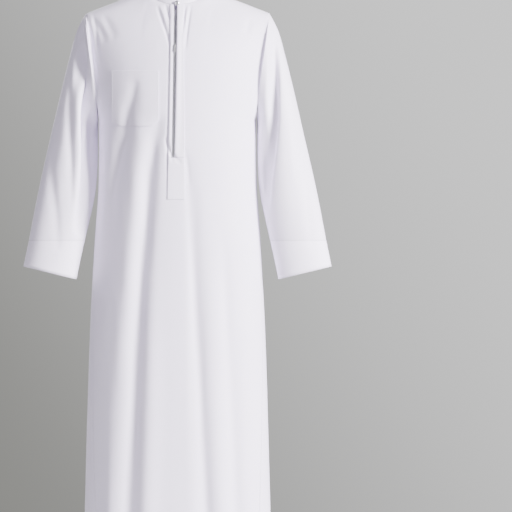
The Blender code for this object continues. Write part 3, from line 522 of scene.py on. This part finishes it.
def hem_tone_and_painted_row_shade(cloth, height):
    """Doubled cloth under the stitched row looks whiter than the single cloth above; along the row itself a
    darker band is painted shade of the seam's groove.
    """
    nodes, links = cloth.node_tree.nodes, cloth.node_tree.links
    colour = nodes["Principled BSDF"].inputs["Base Color"]
    tone = colour.links[0].from_socket
    place = nodes.new("ShaderNodeTexCoord")
    split = nodes.new("ShaderNodeSeparateXYZ")
    links.new(place.outputs["Object"], split.inputs[0])
    span = nodes.new("ShaderNodeMapRange")
    span.inputs["From Min"].default_value = height + 4.0 * MM
    span.inputs["From Max"].default_value = height - 4.0 * MM
    links.new(split.outputs["Z"], span.inputs["Value"])
    steps = nodes.new("ShaderNodeValToRGB")
    stops = steps.color_ramp.elements
    stops[0].position, stops[0].color = 0.14, (0.925, 0.925, 0.93, 1.0)
    stops[1].position, stops[1].color = 0.66, (1.0, 1.0, 1.0, 1.0)
    # painted shade: the colour darkens along the stitched row, where the seam's groove lies in shade
    painted_row_shade = stops.new(0.5)
    painted_row_shade.color = (0.74, 0.74, 0.76, 1.0)
    links.new(span.outputs["Result"], steps.inputs["Fac"])
    mix = nodes.new("ShaderNodeMix")
    mix.data_type, mix.blend_type = "RGBA", "MULTIPLY"
    mix.inputs["Factor"].default_value = 1.0
    links.new(tone, mix.inputs[6])
    links.new(steps.outputs["Color"], mix.inputs[7])
    links.new(mix.outputs[2], colour)


sleeve_cloth = woven("sleeve cloth", (0.855, 0.799, 0.950), (0.885, 0.828, 0.972), 0.58, 9000.0, 0.22, 0.25)
hem_tone_and_painted_row_shade(sleeve_cloth, SLEEVE_ROW)

for side in ("right", "left"):
    sleeve = outer_sheet(f"sleeve_{side}", f"sleeve_{side}_cloth", [CAD_WALL, SLEEVE_WALL_AT_HEM], tube=True)
    soften(sleeve, 3)
    drape(sleeve, SLEEVE_STROKES[side], facing=(0, -1, 0), swell=0.5, seed=31.0,
          hold=held_at_seam(sleeve, SEAM_HOLD))
    roll_in(sleeve, lambda c: c.z > ARMHOLE_FOOT, 1.4 if side == "right" else 0.6, 3.5)
    thicken(sleeve)
    sleeve.data.materials.append(sleeve_cloth)
    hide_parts(f"sleeve_{side}")
    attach(sleeve, "robe")
    sleeves[side] = sleeve

# ------------------------------------------------------------------ Chest pocket
# A plain patch of the same cloth on the chest, its mouth turned in and stitched twice, its other three
# edges turned under and sewn down. It lies on the front and takes the front's folds.
POCKET_WALL = 0.0012
CLOTH_SMOOTH = math.radians(46)     # a turned edge sharper than this shows as an edge


def crisp(obj, wall, edge=0.0):
    """Give a laid-on piece its thickness and the soft roll of a turned edge."""
    thicken(obj, wall)
    if edge:
        apply_modifier(obj, "BEVEL", width=edge, segments=2, limit_method="ANGLE",
                       angle_limit=math.radians(60))
    bpy.ops.object.select_all(action="DESELECT")
    obj.select_set(True)
    bpy.context.view_layer.objects.active = obj
    bpy.ops.object.shade_smooth_by_angle(angle=CLOTH_SMOOTH)


pocket = outer_sheet("chest_pocket", "chest_pocket_cloth", [CAD_WALL])
soften(pocket, 3)
drape(pocket, FRONT_STROKES, facing=FORWARD, swell=0.5, seed=3.0)
crisp(pocket, POCKET_WALL, 0.0003)
pocket.data.materials.append(white_cloth)
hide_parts("chest_pocket")
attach(pocket, "robe")

# ------------------------------------------------------------------ Placket
# Two folded strips sewn along the slit, the wearer's left one wider, and a tail piece that closes them below
# the zip. They are two layers of the cloth, so they lie flatter and look a little whiter.
PLACKET_WALL = 0.0014
faced_cloth = woven("faced cloth", (0.835, 0.778, 0.932), (0.862, 0.804, 0.955), 0.56, 9000.0, 0.20, 0.25)
# width and length of each strip as it shows, and its area where its edges aren't parallel
PLACKET_CUT = {"placket_left": (0.0207, 0.378, None), "placket_right": (0.0102, 0.378, 0.0033),
               "placket_tail": (0.0415, 0.101, None)}
PLACKET_ROLLS = [
    ([(3, -30), (1, -200), (-3, -425)], 8, 3, -3.0),
    ([(-13, -30), (-15, -200), (-19, -425)], 4, 2, -1.1),
]
plackets = {}
for label, cut in PLACKET_CUT.items():
    strip = outer_sheet(label, f"{label}_cloth", [CAD_WALL])
    soften(strip, 3)
    drape(strip, FRONT_STROKES + PLACKET_ROLLS, facing=FORWARD, swell=0.5, seed=3.0)
    crisp(strip, PLACKET_WALL, 0.0004)
    strip.data.materials.append(faced_cloth)
    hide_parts(label)
    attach(strip, "robe")
    plackets[label] = strip

# ------------------------------------------------------------------ Collar band
# A stand collar cut on the curve, two layers of cloth over a firm interlining, its two ends rounded and
# held together by the stud.
COLLAR_WALL, CAD_COLLAR_WALL = 0.0023, 0.0024
collar = outer_sheet("collar_band", "collar_band_cloth", [CAD_COLLAR_WALL])
soften(collar, 3)
crisp(collar, COLLAR_WALL, 0.0007)
collar.data.materials.append(faced_cloth)
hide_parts("collar_band")
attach(collar, "robe")

# ------------------------------------------------------------------ Zip
# A light metal zip: a woven tape down each side of the slit, teeth clamped on their beaded edges, a bottom
# stop, and a slider whose tab swings on a pin. The tapes are sewn in behind the placket.
TAPE_WALL, CAD_TAPE_WALL = 0.0009, 0.001
TOOTH_PITCH, TOOTH_HIGH, TOOTH_WIDE, TOOTH_DEEP = 1.9, 0.98, 2.9, 1.7         # millimetres
TOOTH_IN = 0.25                     # millimetres that each row reaches towards the other
TOOTH_BEVEL = 0.00022
METAL_SMOOTH = math.radians(40)     # a broken edge sharper than this shows as an edge
zip_tape = woven("zip tape", (0.46, 0.47, 0.50), (0.54, 0.55, 0.58), 0.78, 5200.0, 0.5, 0.1)


def brushed(name, dark, light, roughness, grain):
    """Plated metal: fine drawn lines, with a duller bloom in patches."""
    metal = bpy.data.materials.new(name)
    metal.use_nodes = True
    nodes, links = metal.node_tree.nodes, metal.node_tree.links
    shader = nodes["Principled BSDF"]
    shader.inputs["Metallic"].default_value = 1.0
    place = nodes.new("ShaderNodeTexCoord")
    lines = nodes.new("ShaderNodeMapping")
    lines.inputs["Scale"].default_value = (grain, grain, grain * 0.08)
    links.new(place.outputs["Object"], lines.inputs["Vector"])
    scratch = nodes.new("ShaderNodeTexNoise")
    scratch.inputs["Scale"].default_value = 1.0
    scratch.inputs["Detail"].default_value = 5.0
    links.new(lines.outputs["Vector"], scratch.inputs["Vector"])
    bloom = nodes.new("ShaderNodeTexNoise")
    bloom.inputs["Scale"].default_value = 160.0
    links.new(place.outputs["Object"], bloom.inputs["Vector"])
    ramp = nodes.new("ShaderNodeValToRGB")
    ramp.color_ramp.elements[0].position, ramp.color_ramp.elements[1].position = 0.3, 0.7
    ramp.color_ramp.elements[0].color = (*dark, 1.0)
    ramp.color_ramp.elements[1].color = (*light, 1.0)
    links.new(scratch.outputs["Fac"], ramp.inputs["Fac"])
    links.new(ramp.outputs["Color"], shader.inputs["Base Color"])
    spread = nodes.new("ShaderNodeMapRange")
    spread.inputs["To Min"].default_value = roughness - 0.08
    spread.inputs["To Max"].default_value = roughness + 0.12
    links.new(bloom.outputs["Fac"], spread.inputs["Value"])
    links.new(spread.outputs["Result"], shader.inputs["Roughness"])
    relief = nodes.new("ShaderNodeBump")
    relief.inputs["Strength"].default_value = 0.25
    relief.inputs["Distance"].default_value = 0.00005
    links.new(scratch.outputs["Fac"], relief.inputs["Height"])
    links.new(relief.outputs["Normal"], shader.inputs["Normal"])
    return metal


zip_metal = brushed("dull nickel", (0.56, 0.56, 0.58), (0.70, 0.70, 0.72), 0.36, 2600.0)
stud_metal = brushed("bright silver", (0.70, 0.70, 0.72), (0.84, 0.84, 0.86), 0.20, 1800.0)
for side in ("left", "right"):
    tape = outer_sheet(f"zip_tape_{side}", f"zip_tape_{side}_cloth", [CAD_TAPE_WALL])
    soften(tape, 2)
    drape(tape, FRONT_STROKES, facing=FORWARD, swell=0.5, seed=3.0)
    thicken(tape, TAPE_WALL)
    tape.data.materials.append(zip_tape)
    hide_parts(f"zip_tape_{side}")
    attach(tape, "robe")


def tidy(obj):
    """Merge, face outward and shade a modelled piece, and put its place into its mesh."""
    bpy.ops.object.select_all(action="DESELECT")
    obj.select_set(True)
    bpy.context.view_layer.objects.active = obj
    bpy.ops.object.transform_apply(location=True, rotation=True, scale=True)
    bpy.ops.object.mode_set(mode="EDIT")
    bpy.ops.mesh.select_all(action="SELECT")
    bpy.ops.mesh.remove_doubles(threshold=0.000004)
    bpy.ops.mesh.normals_make_consistent(inside=False)
    bpy.ops.object.mode_set(mode="OBJECT")
    bpy.ops.object.shade_smooth_by_angle(angle=METAL_SMOOTH)


def rows_of(node):
    """Height and middle of each row of points of a CAD strip, from the lowest up."""
    found = sorted((v.co.copy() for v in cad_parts[node].data.vertices), key=lambda c: c.z)
    rows = [[found[0]]]
    for place in found[1:]:
        if place.z - rows[-1][-1].z > 0.0007:
            rows.append([])
        rows[-1].append(place)
    return np.array([[sum(c[k] for c in row) / len(row) for k in (2, 0, 1)] for row in rows])


bpy.ops.object.select_all(action="DESELECT")
bpy.ops.mesh.primitive_cube_add(size=1.0)
one_tooth = bpy.context.object
bpy.ops.object.mode_set(mode="EDIT")
bpy.ops.mesh.select_all(action="SELECT")
bpy.ops.transform.resize(value=(TOOTH_WIDE * MM, TOOTH_DEEP * MM, TOOTH_HIGH * MM))
bpy.ops.mesh.bevel(offset=TOOTH_BEVEL, segments=1, affect="EDGES")
bpy.ops.object.mode_set(mode="OBJECT")
tooth_points = np.array([v.co[:] for v in one_tooth.data.vertices])
tooth_faces = [list(p.vertices) for p in one_tooth.data.polygons]
bpy.data.objects.remove(one_tooth)
for side, sign, start in (("right", -1, 0.0), ("left", 1, TOOTH_PITCH / 2)):
    rows = rows_of(f"zip_teeth_{side}")
    points, faces = [], []
    height = rows[0, 0] + (1.4 + start) * MM
    while height < rows[-1, 0] - 1.0 * MM:
        x, y = np.interp(height, rows[:, 0], rows[:, 1]), np.interp(height, rows[:, 0], rows[:, 2])
        lean = math.atan2(np.interp(height + 0.004, rows[:, 0], rows[:, 2]) - y, 0.004)
        turn = np.array([[1, 0, 0], [0, math.cos(lean), -math.sin(lean)],
                         [0, math.sin(lean), math.cos(lean)]])
        first = len(points) * len(tooth_points)
        points.append(tooth_points @ turn + np.array([x - sign * TOOTH_IN * MM, y, height]))
        faces += [[i + first for i in face] for face in tooth_faces]
        height += TOOTH_PITCH * MM
    mesh = bpy.data.meshes.new(f"zip_teeth_{side}_metal")
    mesh.from_pydata(np.concatenate(points).tolist(), [], faces)
    mesh.update()
    teeth = bpy.data.objects.new(f"zip_teeth_{side}_metal", mesh)
    bpy.context.scene.collection.objects.link(teeth)
    teeth.data.materials.append(zip_metal)
    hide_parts(f"zip_teeth_{side}")
    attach(teeth, "robe")

# The bottom stop is a small staple pressed over both tapes.
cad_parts["zip_bottom_stop"].data.materials.clear()
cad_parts["zip_bottom_stop"].data.materials.append(zip_metal)

# ------------------------------------------------------------------ Zip slider and pull tab
# A die-cast slider, two shield-shaped plates joined by a wedge, with two lugs that hold a cross pin. The tab
# is pressed from strip, with an eye that swings on the pin and a sunk oval for the thumb.
SLIDER_PLACE, SLIDER_LEAN = (-0.005313, -0.109881, -0.142032), -0.3173
PIN_OUT = 3.8                       # millimetres from the face of the cloth to the pin


def plate(width, thick, height, centre, corner, edge, top=1.0):
    """A flat metal plate seen from the front, its corners rounded and its edges broken."""
    bpy.ops.object.select_all(action="DESELECT")
    bpy.ops.mesh.primitive_cube_add(size=1.0)
    made = bpy.context.object
    bpy.ops.object.mode_set(mode="EDIT")
    bpy.ops.mesh.select_all(action="SELECT")
    bpy.ops.transform.resize(value=(width * MM, thick * MM, height * MM))
    bm = bmesh.from_edit_mesh(made.data)
    for vert in bm.verts:
        if vert.co.z > 0:
            vert.co.x *= top
    for part_edge in bm.edges:
        part_edge.select_set(abs(part_edge.verts[0].co.y - part_edge.verts[1].co.y) > thick * MM * 0.9)
    bmesh.update_edit_mesh(made.data)
    bpy.ops.mesh.bevel(offset=corner * MM, segments=5, affect="EDGES")
    bpy.ops.mesh.select_all(action="SELECT")
    bpy.ops.transform.translate(value=[c * MM for c in centre])
    bpy.ops.object.mode_set(mode="OBJECT")
    apply_modifier(made, "BEVEL", width=edge * MM, segments=2, limit_method="ANGLE",
                   angle_limit=math.radians(50))
    return made


def rod(radius, length, centre, turn, edge, sides=28):
    """A short round bar with broken edges."""
    bpy.ops.object.select_all(action="DESELECT")
    bpy.ops.mesh.primitive_cylinder_add(vertices=sides, radius=radius * MM, depth=length * MM,
                                        location=[c * MM for c in centre], rotation=turn)
    made = bpy.context.object
    bpy.ops.object.transform_apply(location=True, rotation=True)
    apply_modifier(made, "BEVEL", width=edge * MM, segments=2, limit_method="ANGLE",
                   angle_limit=math.radians(50))
    return made


def assemble(name, pieces, place, lean, metal, replaced, body):
    """Join the pieces, set them at their place and hand them to the frame."""
    bpy.ops.object.select_all(action="DESELECT")
    for piece in pieces:
        piece.select_set(True)
    bpy.context.view_layer.objects.active = pieces[0]
    bpy.ops.object.join()
    made = bpy.context.object
    made.name = name
    made.rotation_euler = (lean, 0.0, 0.0)
    made.location = place
    tidy(made)
    made.data.materials.clear()
    made.data.materials.append(metal)
    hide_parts(replaced)
    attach(made, body)
    return made


sideways = (0.0, math.pi / 2, 0.0)
assemble("zip_slider_metal", [
    plate(6.4, 1.0, 10.0, (0, -1.3, 0), 2.1, 0.24, 0.94),
    plate(6.4, 1.0, 10.0, (0, 3.3, 0), 2.1, 0.24, 0.94),
    plate(1.0, 4.0, 6.0, (0, 1.0, 0.8), 0.3, 0.1),
    plate(0.8, 2.9, 3.0, (-2.2, -3.1, 0), 0.25, 0.12),
    plate(0.8, 2.9, 3.0, (2.2, -3.1, 0), 0.25, 0.12),
    rod(0.7, 5.2, (0, -PIN_OUT, 0), sideways, 0.12, 20),
], SLIDER_PLACE, SLIDER_LEAN, zip_metal, "zip_slider", "robe")

hinge = Vector((0.0, -PIN_OUT * MM, 0.0))
hinge.rotate(Matrix.Rotation(SLIDER_LEAN, 3, "X"))
blade = plate(5.0, 1.0, 11.4, (0, 0, -9.3), 1.7, 0.2, 0.86)
bpy.ops.object.mode_set(mode="EDIT")
bm = bmesh.from_edit_mesh(blade.data)
bm.faces.ensure_lookup_table()
front_face = max((f for f in bm.faces if f.normal.y < -0.9), key=lambda f: f.calc_area())
back_face = max((f for f in bm.faces if f.normal.y > 0.9), key=lambda f: f.calc_area())
for face in bm.faces:
    face.select_set(face in (front_face, back_face))
bmesh.update_edit_mesh(blade.data)
bpy.ops.mesh.inset(thickness=0.0007, use_individual=True)
bpy.ops.mesh.inset(thickness=0.00015, depth=-0.00022, use_individual=True)
bpy.ops.object.mode_set(mode="OBJECT")
eye = rod(1.6, 3.0, (0, 0, 0), sideways, 0.15, 28)
eye_hole = rod(1.0, 4.0, (0, 0, 0), sideways, 0.01, 28)
apply_modifier(eye, "BOOLEAN", object=eye_hole, operation="DIFFERENCE", solver="EXACT")
bpy.data.objects.remove(eye_hole)
assemble("zip_pull_tab_metal", [blade, eye, plate(2.8, 1.0, 3.2, (0, 0, -2.8), 0.2, 0.1)],
         Vector(SLIDER_PLACE) + hinge, SLIDER_LEAN, zip_metal, "zip_pull_tab", "pull_tab")

# ------------------------------------------------------------------ Collar stud
# A turned silver stud through the collar's two ends: a domed head in a beaded rim, a post, and a flat
# back button clipped on behind.
STUD_PLACE = (-0.001, -0.0654, -0.035)
HEAD_RADIUS = 0.0056
upright = (math.pi / 2, 0.0, 0.0)
bpy.ops.object.select_all(action="DESELECT")
bpy.ops.mesh.primitive_uv_sphere_add(segments=40, ring_count=20, radius=HEAD_RADIUS)
dome = bpy.context.object
bpy.ops.object.mode_set(mode="EDIT")
bpy.ops.mesh.select_all(action="SELECT")
bpy.ops.transform.resize(value=(1.0, 1.0, 0.36))
bpy.ops.mesh.bisect(plane_co=(0, 0, -0.0003), plane_no=(0, 0, -1), use_fill=True, clear_outer=True)
bpy.ops.object.mode_set(mode="OBJECT")
dome.rotation_euler = upright
bpy.ops.object.transform_apply(rotation=True)
bpy.ops.object.select_all(action="DESELECT")
bpy.ops.mesh.primitive_torus_add(major_segments=48, minor_segments=10, major_radius=0.00555,
                                 minor_radius=0.00042, rotation=upright)
bead = bpy.context.object
bpy.ops.object.transform_apply(rotation=True)
assemble("collar_stud_metal", [dome, bead, rod(1.0, 8.0, (0, 3.8, 0), upright, 0.1, 18),
                               rod(4.0, 1.0, (0, 7.8, 0), upright, 0.25, 32)],
         STUD_PLACE, 0.0, stud_metal, "collar_stud", "robe")

# ------------------------------------------------------------------ Stitching
# White polyester thread, one lockstitch every 3 mm: along both long edges of the placket, across the tail,
# round the pocket with a double row at its mouth, round the collar, the sleeve hems and the skirt's hem.
STITCH_PITCH, STITCH_LENGTH, THREAD, THREAD_SUNK = 3.0, 2.3, 0.42, 0.05      # millimetres
LONGEST_STEP = 0.02                 # a run that jumps further than this has left the cloth
HEM_ROW = -1.375                    # height of the row of stitches that holds the skirt's hem
bpy.ops.object.select_all(action="DESELECT")
bpy.ops.mesh.primitive_uv_sphere_add(segments=6, ring_count=4, radius=0.5)
one_stitch = bpy.context.object
bpy.ops.object.mode_set(mode="EDIT")
bpy.ops.mesh.select_all(action="SELECT")
bpy.ops.transform.resize(value=(THREAD * MM, THREAD * 0.7 * MM, STITCH_LENGTH * MM))
bpy.ops.object.mode_set(mode="OBJECT")
stitch_points = np.array([v.co[:] for v in one_stitch.data.vertices])
stitch_faces = [list(p.vertices) for p in one_stitch.data.polygons]
bpy.data.objects.remove(one_stitch)
thread = woven("white thread", (0.86, 0.84, 0.90), (0.90, 0.88, 0.93), 0.5, 22000.0, 0.3, 0.4)


def skin_of(*pieces):
    """A ray target made of the finished pieces."""
    points, faces, start = [], [], 0
    for piece in pieces:
        points += [v.co.copy() for v in piece.data.vertices]
        faces += [[i + start for i in p.vertices] for p in piece.data.polygons]
        start = len(points)
    return BVHTree.FromPolygons(points, faces)


def run_on_front(skin, path):
    """Points and normals on the front's skin under a line drawn in x and z, in millimetres."""
    run = []
    for (ax, az), (bx, bz) in zip(path[:-1], path[1:]):
        count = max(2, int(math.hypot(bx - ax, bz - az)))
        for k in range(count):
            x, z = ax + (bx - ax) * k / count, az + (bz - az) * k / count
            place, normal, _, _ = skin.ray_cast(Vector((x * MM, -0.5, z * MM)), Vector((0, 1, 0)))
            if place is not None:
                run.append((place, normal))
    return run


def run_round(skin, centre, across, reach, start=0.0, end=360.0, count=720, forward=(0, -1, 0)):
    """Points and normals round a tube, found by rays sent inward in the plane of two directions."""
    run = []
    across, forward, centre = Vector(across).normalized(), Vector(forward), Vector(centre)
    for k in range(count + 1):
        turn = math.radians(start + (end - start) * k / count)
        out = across * math.cos(turn) + forward * math.sin(turn)
        place, normal, _, _ = skin.ray_cast(centre + out * reach, -out)
        if place is not None:
            run.append((place, normal))
    return run


def sew(name, runs):
    """One object holding every stitch of the given runs."""
    points, faces = [], []
    for run in runs:
        gone, due = 0.0, STITCH_PITCH * MM / 2
        for (a, na), (b, nb) in zip(run[:-1], run[1:]):
            length = (b - a).length
            if length > LONGEST_STEP:
                continue
            while length > 1e-9 and gone + length >= due:
                share = (due - gone) / length
                spot = a.lerp(b, share)
                out = na.lerp(nb, share).normalized()
                along = (b - a).normalized()
                side = along.cross(out).normalized()
                out = side.cross(along).normalized()
                turn = np.array([side[:], out[:], along[:]])
                seat = np.array(spot[:]) + np.array(out[:]) * (THREAD * 0.35 - THREAD_SUNK) * MM
                start = len(points) * len(stitch_points)
                points.append(stitch_points @ turn + seat)
                faces += [[i + start for i in face] for face in stitch_faces]
                due += STITCH_PITCH * MM
            gone += length
    mesh = bpy.data.meshes.new(name)
    mesh.from_pydata(np.concatenate(points).tolist(), [], faces)
    mesh.polygons.foreach_set("use_smooth", [True] * len(mesh.polygons))
    mesh.update()
    bm = bmesh.new()
    bm.from_mesh(mesh)
    bmesh.ops.recalc_face_normals(bm, faces=bm.faces[:])
    bm.to_mesh(mesh)
    bm.free()
    obj = bpy.data.objects.new(name, mesh)
    bpy.context.scene.collection.objects.link(obj)
    obj.data.materials.append(thread)
    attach(obj, "robe")
    return obj


closure_skin = skin_of(plackets["placket_left"], plackets["placket_right"], plackets["placket_tail"])
sew("placket_stitching", [
    run_on_front(closure_skin, [(13.6, -56), (17.4, -408)]),
    run_on_front(closure_skin, [(2.3, -56), (-3.9, -400)]),
    run_on_front(closure_skin, [(-14.1, -56), (-19.7, -408)]),
    run_on_front(closure_skin, [(-19.9, -418), (-21.3, -512), (17.6, -512), (17.0, -418)]),
    run_on_front(closure_skin, [(-20.6, -460), (17.4, -460)]),
    run_on_front(closure_skin, [(-20.9, -479), (17.4, -479)]),
    run_on_front(closure_skin, [(-21.1, -498), (17.4, -498)]),
])
pocket_skin = skin_of(pocket)
box_low, box_high = [Vector(c) * 1000 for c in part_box("chest_pocket")]
left, right, foot, mouth = box_low.x + 2.4, box_high.x - 2.4, box_low.z + 2.2, box_high.z - 2.2
sew("pocket_stitching", [
    run_on_front(pocket_skin, [(left + 1, mouth - 8.0), (right - 1, mouth - 8.0)]),
    run_on_front(pocket_skin, [(left + 1, mouth), (right - 1, mouth)]),
    run_on_front(pocket_skin, [(left, mouth), (left, foot + 12), (left + 12, foot), (right - 12, foot),
                               (right, foot + 12), (right, mouth)]),
])
collar_skin = skin_of(collar)
collar_front, collar_up = (0.0, -0.945, -0.327), Vector((0.0, -0.327, 0.945))
sew("collar_stitching", [
    run_round(collar_skin, Vector((0.0, 0.003, 0.0035)) + collar_up * lift, (1, 0, 0), 0.12, 94.0, 446.0, 900,
              collar_front) for lift in (-0.0165, 0.0165)])
hem_skin = skin_of(front, back, gores["right"], gores["left"])
sew("hem_stitching", [run_round(hem_skin, (0.0, 0.0, HEM_ROW), (1, 0, 0), 0.4, count=1400)])
for side, sign in (("right", -1), ("left", 1)):
    inside_sleeve = Vector((sign * 0.2945, -0.022, SLEEVE_ROW))
    sew(f"sleeve_{side}_stitching", [run_round(skin_of(sleeves[side]), inside_sleeve, (sign, 0, 0), 0.12)])
